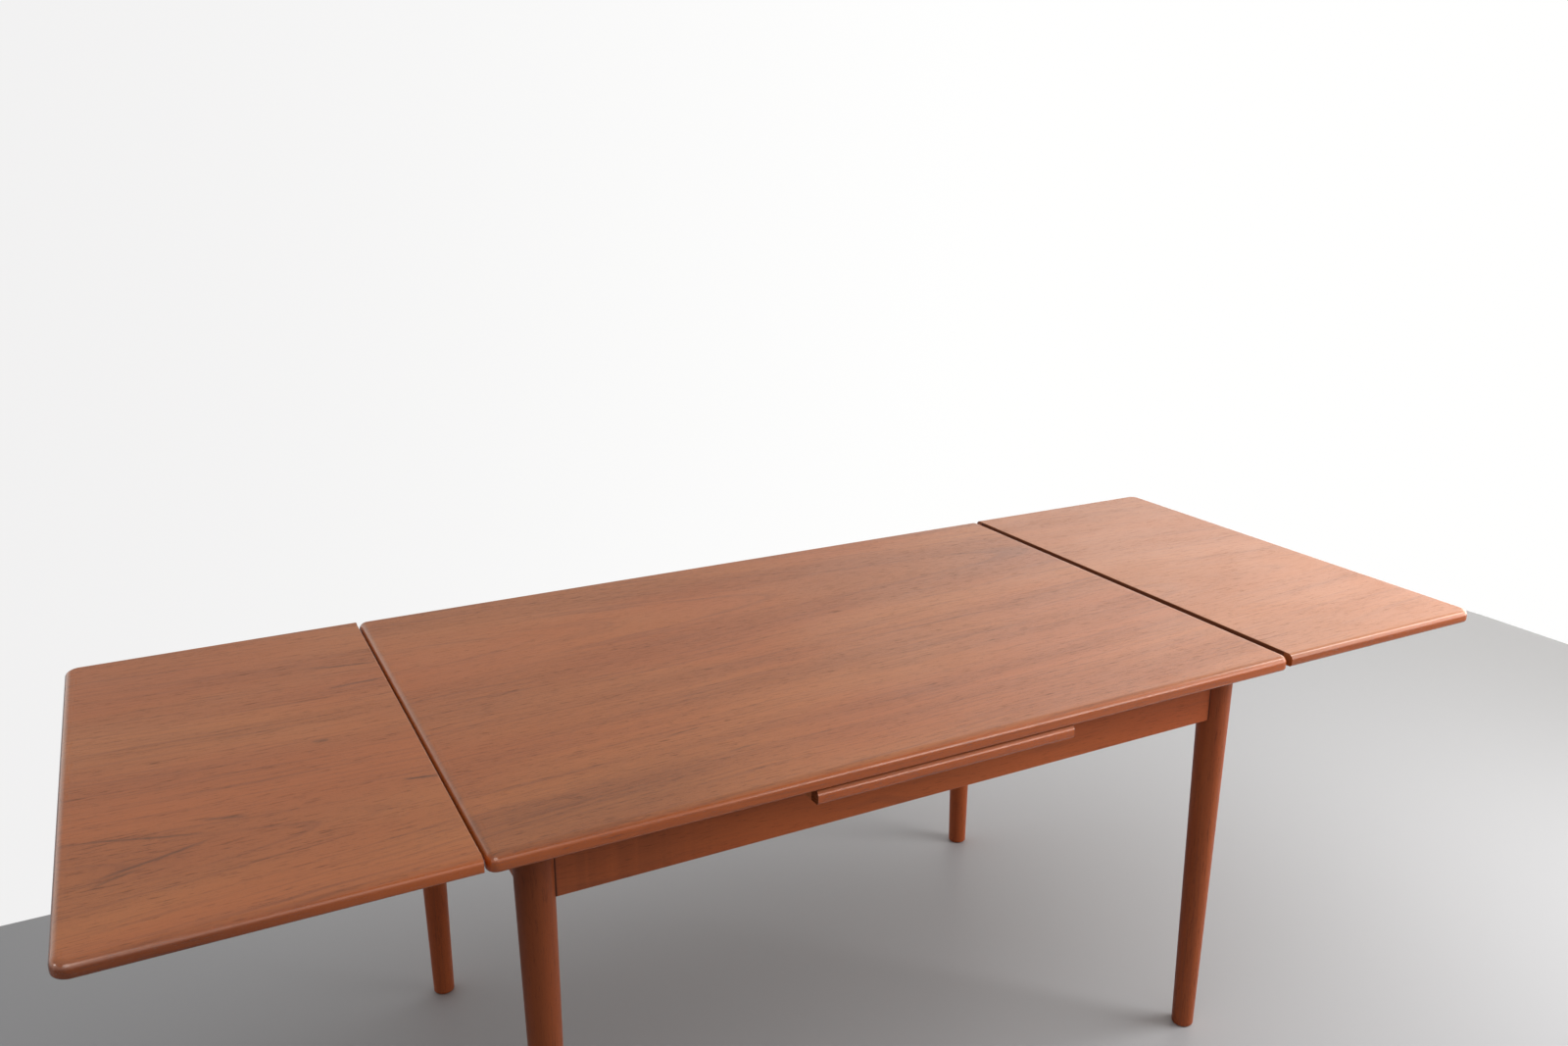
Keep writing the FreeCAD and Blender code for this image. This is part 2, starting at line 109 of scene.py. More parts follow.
# %% A helper that fills a node tree
class NodeBench:
    """Adds nodes to one tree: an input given as a socket is joined, and any other value is set."""

    def __init__(self, tree):
        self.tree = tree

    def feed(self, socket, value):
        """Joins a socket to an input, or sets the input to a plain value."""
        if isinstance(value, bpy.types.NodeSocket):
            self.tree.links.new(value, socket)
        else:
            socket.default_value = value

    def add(self, kind, inputs=(), **settings):
        """One node: settings are its own properties, and inputs are its sockets by name or number."""
        node = self.tree.nodes.new("ShaderNode" + kind)
        for key, value in settings.items():
            setattr(node, key, value)
        for key, value in dict(inputs).items():
            self.feed(node.inputs[key], value)
        return node

    def group(self, tree, *values):
        """The outputs of a node group, whose inputs get the values in order."""
        return self.add("Group", enumerate(values), node_tree=tree).outputs

    def place(self):
        """The point on the piece itself, so that the pattern stays with the piece when it moves."""
        return self.add("TexCoord").outputs["Object"]

    def axes(self, vector):
        """The x, y and z of a vector."""
        return self.add("SeparateXYZ", {0: vector}).outputs

    def calc(self, operation, first, second=0.0, third=0.0):
        """One Math node."""
        return self.add("Math", dict(enumerate((first, second, third))), operation=operation).outputs[0]

    def vectors(self, operation, first, second):
        """One VectorMath node."""
        return self.add("VectorMath", {0: first, 1: second}, operation=operation).outputs[0]

    def step(self, value, low, high, out_low=0.0, out_high=1.0):
        """A soft step: out_low up to low, out_high from high, and a smooth slope between."""
        inputs = dict(enumerate((value, low, high, out_low, out_high)))
        return self.add("MapRange", inputs, interpolation_type="SMOOTHSTEP").outputs[0]

    def noise(self, vector, factors, detail=2.0, roughness=0.5):
        """Noise over the vector, with each axis times its own factor."""
        stretched = self.vectors("MULTIPLY", vector, factors)
        inputs = {"Vector": stretched, "Scale": 1.0, "Detail": detail, "Roughness": roughness}
        return self.add("TexNoise", inputs).outputs[0]

    def threads(self, vector, along, across, detail, roughness, low, high, less=None):
        """Mask = soft step, from low to high, of noise stretched along the grain, less what is given."""
        value = self.noise(vector, (along, across, across), detail, roughness)
        if less is not None:
            value = self.calc("SUBTRACT", value, less)
        return self.step(value, low, high)

    def mix(self, share, first, second):
        """A mix of two colours: share 0 gives the first and 1 the second."""
        return self.add("Mix", {0: share, 6: first, 7: second}, data_type="RGBA").outputs[2]

    def toward(self, color, mask, share, other):
        """The colour, mixed with another one by mask times share."""
        return self.mix(self.calc("MULTIPLY", mask, share), color, other)


def node_group(name, inputs, outputs, fill):
    """A shader node group, filled by a function that takes the inputs and gives the outputs in order.

    Each input has its default, or None for a vector, and the outputs are numbers.
    """
    tree = bpy.data.node_groups.new(name, "ShaderNodeTree")
    for label, default in inputs.items():
        kind = "NodeSocketVector" if default is None else "NodeSocketFloat"
        socket = tree.interface.new_socket(name=label, in_out="INPUT", socket_type=kind)
        if default is not None:
            socket.default_value = default
    for label in outputs:
        tree.interface.new_socket(name=label, in_out="OUTPUT", socket_type="NodeSocketFloat")
    given = tree.nodes.new("NodeGroupInput").outputs
    taken = tree.nodes.new("NodeGroupOutput").inputs
    bench = NodeBench(tree)
    for label, value in zip(outputs, fill(bench, *(given[label] for label in inputs))):
        bench.feed(taken[label], value)
    print("shader group:", name, "with", len(tree.nodes), "nodes")
    return tree


def new_material(name):
    """An empty material with its output node, and a bench to fill it."""
    material = bpy.data.materials.new(name)
    material.use_nodes = True
    material.node_tree.nodes.clear()
    bench = NodeBench(material.node_tree)
    output = bench.add("OutputMaterial")
    return material, bench, output.inputs["Surface"]


print("the node helper is ready")

# %% [markdown]
# ## Meshes from grids
# Every shape made here is a grid of points: a row of stations, with the same number of points at each.
# The points are worked out as one array, and the faces follow from how the grid is numbered.


# %% Turn a grid of points into a mesh
def grid_faces(rows, columns, closed=False):
    """Quads of a grid of points: each joins a point to the next in its row and in the next row.

    Closed joins the last point of each row to the first.
    """
    row = np.arange(rows - 1)[:, None]
    column = np.arange(columns if closed else columns - 1)[None, :]
    next_column = (column + 1) % columns
    corners = (row * columns + column, (row + 1) * columns + column,
               (row + 1) * columns + next_column, row * columns + next_column)
    shape = (row.size, column.size)
    return np.stack([np.broadcast_to(corner, shape) for corner in corners], -1).reshape(-1, 4)


def mesh_from_points(name, points, faces):
    """A mesh from an array of points and a list of faces."""
    mesh = bpy.data.meshes.new(name)
    mesh.from_pydata(points.reshape(-1, 3).tolist(), [], faces)
    mesh.update()
    return mesh


def tube_mesh(name, points):
    """A mesh from a grid whose rows are closed rings, with a flat polygon over each end."""
    count, around = points.shape[:2]
    first = list(range(around))
    last = [(count - 1) * around + number for number in reversed(first)]
    return mesh_from_points(name, points, grid_faces(count, around, closed=True).tolist() + [first, last])


print("a grid of 3 by 4 points has", len(grid_faces(3, 4)), "faces")

# %% [markdown]
# ## Floor and backdrop
# The table stands on a plain pale floor that ends at a white wall, as in a photo studio.
# The floor takes shadows, so it has a real surface. Its grey is also painted darker towards its left, as
# painted shade.
# The wall only has to look white to the camera, so it gives no light, and it is clear from behind:
# then the table can be seen from every side, and from below through the floor.

# %% Make the floor and the backdrop
floor_reach = 9.0
# Painted shade: the floor's grey goes from darker at the left to lighter at the right.
floor_grey_left = (0.272, 0.273, 0.280, 1.0)
floor_grey_right = (0.405, 0.405, 0.412, 1.0)
floor_grey_change = (-1.6, -0.2)
floor_roughness = 0.50
back_wall_y = 0.99
right_wall_x = 3.0
wall_height = 3.6
wall_bend = 0.25
wall_bend_points = 9
# Painted shade: the backdrop's white is dimmer towards the left.
wall_white_left = (0.88, 0.875, 0.875, 1.0)
wall_white_right = (1.0, 1.0, 0.995, 1.0)
wall_white_change = (-1.6, 1.2)


def stage_object(name, points, material):
    """Adds a floor or a backdrop, which isn't part of the table, with its front towards the camera."""
    mesh = mesh_from_points(name, points, grid_faces(*points.shape[:2])[:, ::-1].tolist())
    mesh.materials.append(material)
    thing = new_object(name, mesh)
    return thing


def stage_material(name, left, right, change, kind, socket, **values):
    """One shader whose colour changes along x from left to right, and which is clear from behind."""
    material, bench, surface = new_material(name)
    color = bench.mix(bench.step(bench.axes(bench.place())[0], *change), left, right)
    front = bench.add(kind, {socket: color, **values})
    clear = bench.add("BsdfTransparent")
    behind = bench.add("NewGeometry").outputs["Backfacing"]
    shown = bench.add("MixShader", {0: behind, 1: front.outputs[0], 2: clear.outputs[0]})
    bench.feed(surface, shown.outputs[0])
    return material


swing = np.linspace(0, math.pi / 2, wall_bend_points)
bend = np.column_stack([right_wall_x - wall_bend + wall_bend * np.sin(swing),
                        back_wall_y - wall_bend + wall_bend * np.cos(swing)])
wall_line = np.concatenate([[[-floor_reach, back_wall_y]], bend, [[right_wall_x, -floor_reach]]])
wall_points = np.stack([np.column_stack([wall_line, np.full(len(wall_line), level)])
                        for level in (0.0, wall_height)])
wall = stage_object("backdrop", wall_points, stage_material(
    "white_backdrop", wall_white_left, wall_white_right, wall_white_change, "Emission", "Color"))
for kind in ("visible_diffuse", "visible_glossy", "visible_transmission", "visible_shadow"):
    setattr(wall, kind, False)
floor_sides = (-floor_reach, floor_reach)
stage_object("floor", np.array([[[x, y, 0.0] for x in floor_sides] for y in floor_sides]), stage_material(
    "pale_floor", floor_grey_left, floor_grey_right, floor_grey_change, "BsdfPrincipled", "Base Color",
    Roughness=floor_roughness))
print("the wall stands at y", back_wall_y, "and x", right_wall_x)

# %% [markdown]
# ## Light
# A photographer lights a table with a bright ceiling and one large window, and a white wall stands behind.
# The ceiling lights the top evenly. The window stands to the right of the camera, so the right sides of
# the legs are bright and their left sides dark, and the top grows brighter towards the right.
# Oiled wood also mirrors the room in a soft haze. That haze comes from the dome as glossy rays see it:
# faintly warm walls, brightest at the right, under a much dimmer ceiling. A few bright windows in it give
# the thin bright lines on the rounded edges. The camera sees the dome as plain white.

# %% Make the dome and the window
window_place = (2.1, -1.15, 1.5)
window_target = (0.2, 0.0, 0.7)
window_size = (1.2, 1.2)
window_power = 45.0
dome_level = 0.04
ceiling_glow = 1.28
ceiling_rise = (0.35, 0.85)
mirror_level = 0.82
mirror_ceiling_share = 0.20
mirror_ceiling_rise = (0.28, 0.66)
plain_white = (1.0, 1.0, 1.0, 1.0)
mirror_tint = (1.0, 0.955, 0.895, 1.0)
# Each mirrored glow: azimuth from the back, height, rim and core, all in degrees, and its brightness
mirror_wall = (85.0, 14.0, 62.0, 18.0, 3.00)
mirror_windows = (
    (146.0, 4.0, 15.0, 7.0, 3.60),
    (106.0, 38.0, 9.0, 4.0, 7.00),
    (180.0, 20.0, 20.0, 8.0, 0.70),
    (207.0, 38.0, 22.0, 12.0, 3.20),
    (274.0, 24.0, 9.0, 4.0, 7.00),
)


def soft_lamp(name, place, target, size, power):
    """A rectangular lamp of size width and height that faces its target."""
    data = bpy.data.lights.new(name, "AREA")
    data.shape = "RECTANGLE"
    data.size, data.size_y = size
    data.energy = power
    lamp = new_object(name, data)
    lamp.location = place
    lamp.rotation_euler = (Vector(target) - Vector(place)).to_track_quat("-Z", "Y").to_euler()
    lamp.visible_camera = False
    lamp.visible_glossy = False


def way_to(azimuth, height):
    """A direction: azimuth turns from the back to the right, and height rises from the horizon."""
    azimuth, height = math.radians(azimuth), math.radians(height)
    return (math.sin(azimuth) * math.cos(height), math.cos(azimuth) * math.cos(height), math.sin(height))


def mirrored_glow(bench, way, azimuth, height, rim, core, brightness):
    """Brightness times a soft step, from rim to core, of the cosine between the way and its middle."""
    cosine = bench.add("VectorMath", {0: way, 1: way_to(azimuth, height)}, operation="DOT_PRODUCT")
    rim, core = math.cos(math.radians(rim)), math.cos(math.radians(core))
    return bench.step(cosine.outputs["Value"], rim, core, 0.0, brightness)


def dome():
    """Light = level + ceiling. Mirrored = (level + wall) times a share that falls upwards, + windows.

    Glossy rays see the mirrored room in its tint. Camera and transmission rays see white, at strength 1.
    """
    world = bpy.data.worlds.new("room")
    world.use_nodes = True
    world.node_tree.nodes.clear()
    bench = NodeBench(world.node_tree)
    way = bench.add("TexCoord").outputs["Generated"]
    rise = bench.axes(way)[2]
    strength = bench.step(rise, *ceiling_rise, dome_level, dome_level + ceiling_glow)
    share = bench.step(rise, *mirror_ceiling_rise, 1.0, mirror_ceiling_share)
    mirrored = bench.calc("ADD", mirrored_glow(bench, way, *mirror_wall), mirror_level)
    mirrored = bench.calc("MULTIPLY", mirrored, share)
    for window in mirror_windows:
        mirrored = bench.calc("ADD", mirrored_glow(bench, way, *window), mirrored)
    path = bench.add("LightPath").outputs
    seen = bench.calc("MAXIMUM", path["Is Camera Ray"], path["Is Transmission Ray"])
    for kind, shown in ((path["Is Glossy Ray"], mirrored), (seen, 1.0)):
        kept = bench.calc("MULTIPLY", strength, bench.calc("SUBTRACT", 1.0, kind))
        strength = bench.calc("MULTIPLY_ADD", kind, shown, kept)
    color = bench.mix(path["Is Glossy Ray"], plain_white, mirror_tint)
    background = bench.add("Background", {"Color": color, "Strength": strength})
    bench.feed(bench.add("OutputWorld").inputs["Surface"], background.outputs[0])
    return world


soft_lamp("window", window_place, window_target, window_size, window_power)
bpy.context.scene.world = dome()
print("window of", window_size, "metres at", window_power, "watts, ceiling", ceiling_glow)

# %% [markdown]
# ## How teak is drawn
# A board is a slice through a log, and each line of its figure is the edge of a yearly ring.
# So the figure is worked out as in a real log. A point's distance from the heart of the log says
# in which ring it lies, and the log's taper turns straight lines into long arches.
# Slow noise makes the rings wander. The bands and lines of the wood follow this one distance.

# %% Shader group: distance from the heart of the log
log_inputs = {"Vector": None, "Heart Side": 0.1, "Heart Depth": 0.1, "Taper": 0.03, "Wander": 0.01}
slow_wander = (1.6, 5.0, 5.0)
quick_wander = (9.0, 22.0, 22.0)
quick_share = 0.22
wander_gain = 4.0


def ring_distance(bench, vector, heart_side, heart_depth, taper, wander):
    """distance = root of (sideways squared plus depth squared) + taper times the length along the grain.

    Sideways and depth are measured from the heart, and slow noise pushes sideways to and fro.
    """
    along, side, deep = bench.axes(vector)
    slow = bench.noise(vector, slow_wander, detail=1.0)
    quick = bench.noise(vector, quick_wander, detail=1.0)
    both = bench.calc("MULTIPLY_ADD", quick, quick_share, slow)
    push = bench.calc("MULTIPLY", bench.calc("SUBTRACT", both, (1 + quick_share) / 2), wander)
    sideways = bench.calc("SUBTRACT", bench.calc("MULTIPLY_ADD", push, wander_gain, side), heart_side)
    depth = bench.calc("ADD", deep, heart_depth)
    square = bench.calc("MULTIPLY_ADD", sideways, sideways, bench.calc("MULTIPLY", depth, depth))
    return bench.calc("MULTIPLY_ADD", along, taper, bench.calc("SQRT", square)), along


ring_tree = node_group("ring_distance", log_inputs, ("Distance", "Along"), ring_distance)

# %% [markdown]
# ## Bands, lines, fibres and pores
# Teak shows four things at once. Broad soft bands, a few centimetres wide, come from groups of rings.
# Thin darker lines run with the rings. Fine fibres give the whole face a combed look.
# Pores are short dark dashes, cut open by the saw, and they lie thickest in the darker wood.
# One group gives all four as masks, so that every board and leg can mix them in its own way.
# A fifth mask, the flush, says where the wood is a little redder.

# %% Shader group: the grain of teak
# Each row: changes per metre along and across the grain, detail, roughness, and both ends of the soft step
teak_threads = {
    "bands": (0.9, 14.0, 3.0, 0.55, 0.34, 0.70),
    "lines": (2.6, 190.0, 4.0, 0.62, 0.48, 0.70),
    "fibres": (14.0, 520.0, 3.0, 0.60, 0.30, 0.75),
    "long_pores": (36.0, 480.0, 3.0, 0.65, 0.53, 0.66),
    "short_pores": (170.0, 1700.0, 1.0, 0.50, 0.60, 0.70),
    "flush": (1.6, 4.2, 2.0, 0.50, 0.35, 0.65),
}
pore_crowding = 0.035
short_pore_share = 0.8


def teak_grain(bench, vector, *heart):
    """Five masks from noise stretched along the grain.

    Bands and lines read the distance from the heart, and the others read the place itself.
    """
    rings = bench.group(ring_tree, vector, *heart)
    flat = bench.add("CombineXYZ", {0: rings["Along"], 1: rings["Distance"]}).outputs[0]
    bands = bench.threads(flat, *teak_threads["bands"])
    lines = bench.threads(flat, *teak_threads["lines"])
    fibres = bench.threads(vector, *teak_threads["fibres"])
    crowd = bench.step(bands, 0.0, 1.0, pore_crowding, 0.0)
    long_pores = bench.threads(vector, *teak_threads["long_pores"], crowd)
    short_pores = bench.threads(vector, *teak_threads["short_pores"], crowd)
    pores = bench.calc("MAXIMUM", long_pores, bench.calc("MULTIPLY", short_pores, short_pore_share))
    return bands, lines, fibres, pores, bench.threads(vector, *teak_threads["flush"])


grain_tree = node_group("teak_grain", log_inputs, ("Bands", "Lines", "Fibres", "Pores", "Flush"), teak_grain)

# %% [markdown]
# ## Mineral streaks
# The left leaf carries a few grey-brown streaks, where the tree took up minerals.
# They are part of this table's face, so each one is laid at its own place.
# A streak is a long soft spindle: dark along its middle line, fading to both sides and both ends,
# and broken up by noise that is stretched along it. A very wide one paints shade over a stretch of wood.

# %% Shader group: one dark streak
bend_factors = (17.0, 17.0, 0.0)
bend_size = 0.006
ragged_factors = (55.0, 620.0, 0.0)
# Each fade: where it starts and ends, and the value at its start and its end
width_fade = (0.3, 0.7, 0.55, 1.45)
side_fade = (0.0, 1.6, 1.0, 0.0)
end_fade = (0.35, 1.0, 1.0, 0.0)
broken_fade = (0.25, 0.6, 0.55, 1.0)


def dark_streak(bench, vector, centre, turn, half_length, half_width, strength):
    """Mask = strength, times a fall-off across the middle line, times a fall-off towards both ends.

    The point is moved to the streak's centre and turned into its line, and noise bends that line.
    """
    moved = bench.vectors("SUBTRACT", vector, centre)
    turned = bench.add("VectorRotate", {"Vector": moved, "Rotation": turn},
                       rotation_type="EULER_XYZ", invert=True).outputs[0]
    along, across, _ = bench.axes(turned)
    bend = bench.noise(vector, bend_factors, detail=1.0)
    across = bench.calc("MULTIPLY_ADD", bench.calc("SUBTRACT", bend, 0.5), bend_size, across)
    ragged = bench.noise(turned, ragged_factors, roughness=0.6)
    wide = bench.calc("MULTIPLY", half_width, bench.step(ragged, *width_fade))
    side = bench.calc("DIVIDE", bench.calc("ABSOLUTE", across), wide)
    end = bench.calc("DIVIDE", bench.calc("ABSOLUTE", along), half_length)
    spindle = bench.calc("MULTIPLY", bench.step(side, *side_fade), bench.step(end, *end_fade))
    broken = bench.calc("MULTIPLY", spindle, bench.step(ragged, *broken_fade))
    return [bench.calc("MULTIPLY", broken, strength)]


streak_tree = node_group("dark_streak", {
    "Vector": None, "Centre": None, "Turn": None, "Half Length": 0.05, "Half Width": 0.002,
    "Strength": 0.5}, ["Mask"], dark_streak)

# %% [markdown]
# ## Edges and joints
# Hands and cloths polish a table's edges, and a thin line of painted shade marks where two pieces meet.
# On a piece with flat faces, a point's distance to the nearest edge is the middle one of its three
# distances to the sides of the piece's box. The group below turns it into a mask.

# %% Shader group: the edges of a square piece
uneven_factors = (60.0, 60.0, 60.0)
uneven_fade = (0.3, 0.7, 0.4, 1.5)


def square_edges(bench, vector, low, high, width):
    """Mask is 1 on the edges of the box from low to high and falls to 0 at width from them."""
    above = bench.vectors("SUBTRACT", vector, low)
    below = bench.vectors("SUBTRACT", high, vector)
    x, y, z = bench.axes(bench.vectors("MINIMUM", above, below))
    smaller = bench.calc("MINIMUM", x, y)
    larger = bench.calc("MAXIMUM", x, y)
    middle = bench.calc("MAXIMUM", smaller, bench.calc("MINIMUM", larger, z))
    reach = bench.calc("MULTIPLY", width, bench.step(bench.noise(vector, uneven_factors), *uneven_fade))
    return [bench.step(bench.calc("DIVIDE", middle, reach), 0.0, 1.0, 1.0, 0.0)]


edge_tree = node_group(
    "square_edges", {"Vector": None, "Low": None, "High": None, "Width": 0.002}, ["Mask"], square_edges)

# %% [markdown]
# ## The oiled finish
# Oil sinks in unevenly, so the gloss changes softly from place to place, and each pore is a tiny dull pit.
# This group turns the grain masks into a roughness and into a height for a Bump node.

# %% Shader group: oiled surface
patch_factors = (5.0, 9.0, 9.0)
patch_fade = (0.3, 0.7, -0.014, 0.018)
pore_gain, fibre_gain, worn_polish = 0.14, 0.04, -0.10
pore_height = -1.0
fibre_height = -0.25


def oiled_surface(bench, vector, roughness, fibres, pores, worn):
    """Roughness = even value, plus soft patches, plus dull pores, minus polish on worn edges."""
    patches = bench.noise(vector, patch_factors, detail=3.0, roughness=0.6)
    rough = bench.calc("ADD", roughness, bench.step(patches, *patch_fade))
    for mask, gain in ((pores, pore_gain), (fibres, fibre_gain), (worn, worn_polish)):
        rough = bench.calc("MULTIPLY_ADD", mask, gain, rough)
    low_fibres = bench.calc("MULTIPLY", fibres, fibre_height)
    return rough, bench.calc("MULTIPLY_ADD", pores, pore_height, low_fibres)


oil_tree = node_group("oiled_surface", {
    "Vector": None, "Roughness": 0.4, "Fibres": 0.0, "Pores": 0.0, "Worn": 0.0},
    ("Roughness", "Height"), oiled_surface)

# %% [markdown]
# ## The teak material
# One function makes every teak finish, because veneer, lippings, aprons and legs are the same wood.
# Each piece says which way its grain runs, from which side of the log it comes, and how light or red it is.
# The pattern reads Object coordinates, so a board keeps its figure when it is moved by a joint.

# %% Mix the colours of teak
along_x = (0.0, 0.0, 0.0)
along_y = (0.0, 0.0, -math.pi / 2)
along_z = (0.0, math.pi / 2, 0.0)
veneer_tone = {"pale": (0.404, 0.136, 0.044), "deep": (0.259, 0.077, 0.026), "red": (0.375, 0.096, 0.027)}
lipping_tone = {"pale": (0.462, 0.103, 0.018), "deep": (0.325, 0.064, 0.010), "red": (0.438, 0.087, 0.013)}
frame_tone = {"pale": (0.385, 0.096, 0.029), "deep": (0.240, 0.049, 0.015), "red": (0.350, 0.074, 0.021)}
pore_color = (0.060, 0.022, 0.012)
line_color = (0.150, 0.048, 0.024)
streak_color = (0.040, 0.022, 0.016)


def opaque(color, share=1.0):
    """A colour with its alpha, made darker or lighter by share."""
    return (*(share * part for part in color), 1.0)


def wood_color(bench, place, tone, grain, log_place, heart_side, heart_depth, taper=0.03, wander=0.010,
               brightness=1.0, flush=0.55, band=0.75, line=0.45, pore=0.55, fibre=0.16, streaks=()):
    """Pale wood, mixed with red patches, bands, lines, fibres, pores and streaks, in this order.

    Gives the colour, the grain masks, and the place in the log.
    """
    vector = bench.add("Mapping", {"Vector": place, "Rotation": grain, "Location": log_place}).outputs[0]
    grained = bench.group(grain_tree, vector, heart_side, heart_depth, taper, wander)
    color = opaque(tone["pale"], brightness)
    for mask, share, other in (("Flush", flush, tone["red"]), ("Bands", band, tone["deep"]),
                               ("Lines", line, line_color), ("Fibres", fibre, tone["deep"])):
        color = bench.toward(color, grained[mask], share, opaque(other, brightness))
    color = bench.toward(color, grained["Pores"], pore, opaque(pore_color))
    for centre, turn, *sizes in streaks:
        streak = bench.group(streak_tree, place, centre, (0.0, 0.0, math.radians(turn)), *sizes)
        color = bench.mix(streak["Mask"], color, opaque(streak_color))
    return color, grained, vector


print("three tones of teak:", "veneer, lipping and frame")

# %% [markdown]
# ## From colour to finish
# The shader gets the colour, the oiled roughness and a very fine relief. Then come the marks of use, edges
# rubbed paler and the pale core that shows where the centre board was sawn off, and painted shade: a dark
# line where an apron meets a leg, and a dark face in the gap between leaf and top.

# %% Make a teak material
# Painted shade: the colour of the thin dark line where an apron meets a leg.
joint_shade_color = (0.020, 0.008, 0.005)
joint_start, joint_full = 0.0030, 0.0004
joint_share = 0.85
# End grain colour: partly the wood's own darker end grain, partly painted shade.
end_grain_and_shade_color = (0.170, 0.050, 0.016)
core_color = (0.620, 0.250, 0.110)
gap_shade_color = (0.130, 0.040, 0.015)
end_depth = 0.0002
rubbed_gain = 1.25
flat_roughness = 0.40
polish_roughness = 0.10
relief_depth = 0.0002


def oiled_wood(bench, surface, color, masks, vector, roughness, rubbed=0.0, specular=0.5, polish=None,
               relief=0.35):
    """The shader of oiled wood, with its pores and fibres as a fine relief.

    Polish is a mask of where hands have rubbed a thin glossy skin onto the wood.
    """
    oiled = bench.group(oil_tree, vector, roughness, masks["Fibres"], masks["Pores"], rubbed)
    bump = bench.add("Bump", {"Height": oiled["Height"], "Strength": relief, "Distance": relief_depth})
    wood = bench.add("BsdfPrincipled", {"Base Color": color, "Roughness": oiled["Roughness"],
                                        "Specular IOR Level": specular, "Normal": bump.outputs[0]})
    if polish is not None:
        bench.feed(wood.inputs["Coat Weight"], polish)
        wood.inputs["Coat Roughness"].default_value = polish_roughness
    bench.feed(surface, wood.outputs[0])


def rubbed_edges(bench, place, color, box, width, share, pale):
    """The colour, mixed with a pale one along the edges of a box, and the mask of those edges."""
    mask = bench.group(edge_tree, place, *box, width)["Mask"]
    return bench.toward(color, mask, share, pale), mask


def from_middle(bench, place, axis=0):
    """The distance from the table's middle along an axis."""
    return bench.calc("ABSOLUTE", bench.axes(place)[axis])


def end_face(bench, place, reach):
    """Mask = 1 where the distance from the table's middle along x comes up to reach."""
    return bench.step(from_middle(bench, place), reach - 2 * end_depth, reach - end_depth)


def teak(name, tone, grain, roughness=flat_roughness, specular=0.5, edges=None, edge_width=0.0025,
         rub=0.30, joint=None, core_reach=None, gap_reach=None, **figure):
    """Teak whose edges, given as a box, are rubbed paler, and whose joint with a neighbour is darkened as
    painted shade.

    A joint is an axis and the distance from the table's middle at which the neighbour begins.
    The board's pale core shows at core_reach from the middle, and the face at gap_reach is darkened with
    painted shade.
    """
    material, bench, surface = new_material(name)
    place = bench.place()
    color, grained, vector = wood_color(bench, place, tone, grain, **figure)
    rubbed = 0.0
    if edges is not None:
        pale = opaque(tone["pale"], rubbed_gain)
        color, rubbed = rubbed_edges(bench, place, color, edges, edge_width, rub, pale)
    if joint is not None:
        axis, reach = joint
        near = bench.step(from_middle(bench, place, axis), reach - joint_start, reach - joint_full,
                          0.0, joint_share)
        color = bench.mix(near, color, opaque(joint_shade_color))
    if core_reach is not None:
        color = bench.mix(end_face(bench, place, core_reach), color, opaque(core_color))
    # Painted shade: the leaf's inner face, which lies in the gap, is darkened.
    if gap_reach is not None:
        inner_face = bench.step(from_middle(bench, place), gap_reach + end_depth, gap_reach + 2 * end_depth,
                                1.0, 0.0)
        color = bench.mix(inner_face, color, opaque(gap_shade_color))
    oiled_wood(bench, surface, color, grained, vector, roughness, rubbed, specular)
    return material


print("teak is ready, with a joint line", joint_start, "metres wide")

# %% [markdown]
# ## Shaped edges
# The top and the leaves are veneered boards with solid lippings glued round them.
# A lipping is a bar whose outer side is rounded above and below, and it is mitred at the corners.
# In the solids its round is a few flat strips. Here the same bar is worked out afresh, with a fine round:
# a profile is carried along the outline of the board, and turns with it at the corner.

# %% Work out a lipping
round_steps = 12
corner_steps = 10
straight_steps = 24
round_start, round_full = 0.30, 0.75
lower_wear = 0.25
support_share = 0.12
crease_angle = 35.0


def lipping_stations(half_inner, width, corner_radius, mitred):
    """Stations along the front side, as outer point, outward way and inner point, all in plan.

    The outer line runs straight, then an eighth of a circle round each mitred corner.
    The inner point runs evenly along the inner line, from one inner corner to the other.
    """
    begin, end = (half_inner + (width - corner_radius if corner else 0.0) for corner in mitred)
    straight = np.linspace(-begin, end, straight_steps + 1)
    swing = np.linspace(0, math.pi / 4, corner_steps + 1)[1:]
    before = -swing[::-1] if mitred[0] else swing[:0]
    after = swing if mitred[1] else swing[:0]
    angle = np.concatenate([before, np.zeros_like(straight), after])
    middle = np.pad(straight, (len(before), len(after)), mode="edge")
    outward = np.column_stack([np.sin(angle), -np.cos(angle)])
    outer = outward * corner_radius + np.column_stack([middle, np.full(len(middle), corner_radius)])
    gone = np.concatenate([[0.0], np.cumsum(np.linalg.norm(np.diff(outer, axis=0), axis=1))])
    inner = np.column_stack([2 * half_inner * gone / gone[-1] - half_inner, np.full(len(gone), width)])
    return outer, outward, inner


def bar_profile(under, over, upper_round, lower_round):
    """The rounded side of the bar, from below to above, as (inset, height), with two masks.

    A quarter circle at the bottom, a straight side and a quarter circle at the top.
    Worn is a hump at the upper round's middle. Rounded is 0 on the top and over the first part of the
    turn, and rises evenly to 1 where the side becomes upright.
    """
    angle = np.linspace(0, math.pi / 2, round_steps + 1)
    lower = np.column_stack([lower_round * (1 - np.sin(angle)), under + lower_round * (1 - np.cos(angle))])
    upper = np.column_stack([upper_round * (1 - np.cos(angle)), over - upper_round * (1 - np.sin(angle))])
    worn = np.concatenate([lower_wear * np.sin(2 * angle), np.sin(2 * angle)])
    turned = 1 - angle / (math.pi / 2)
    rising = np.clip((turned - round_start) / (round_full - round_start), 0, 1)
    return np.concatenate([lower, upper]), worn, np.concatenate([np.ones_like(angle), rising])


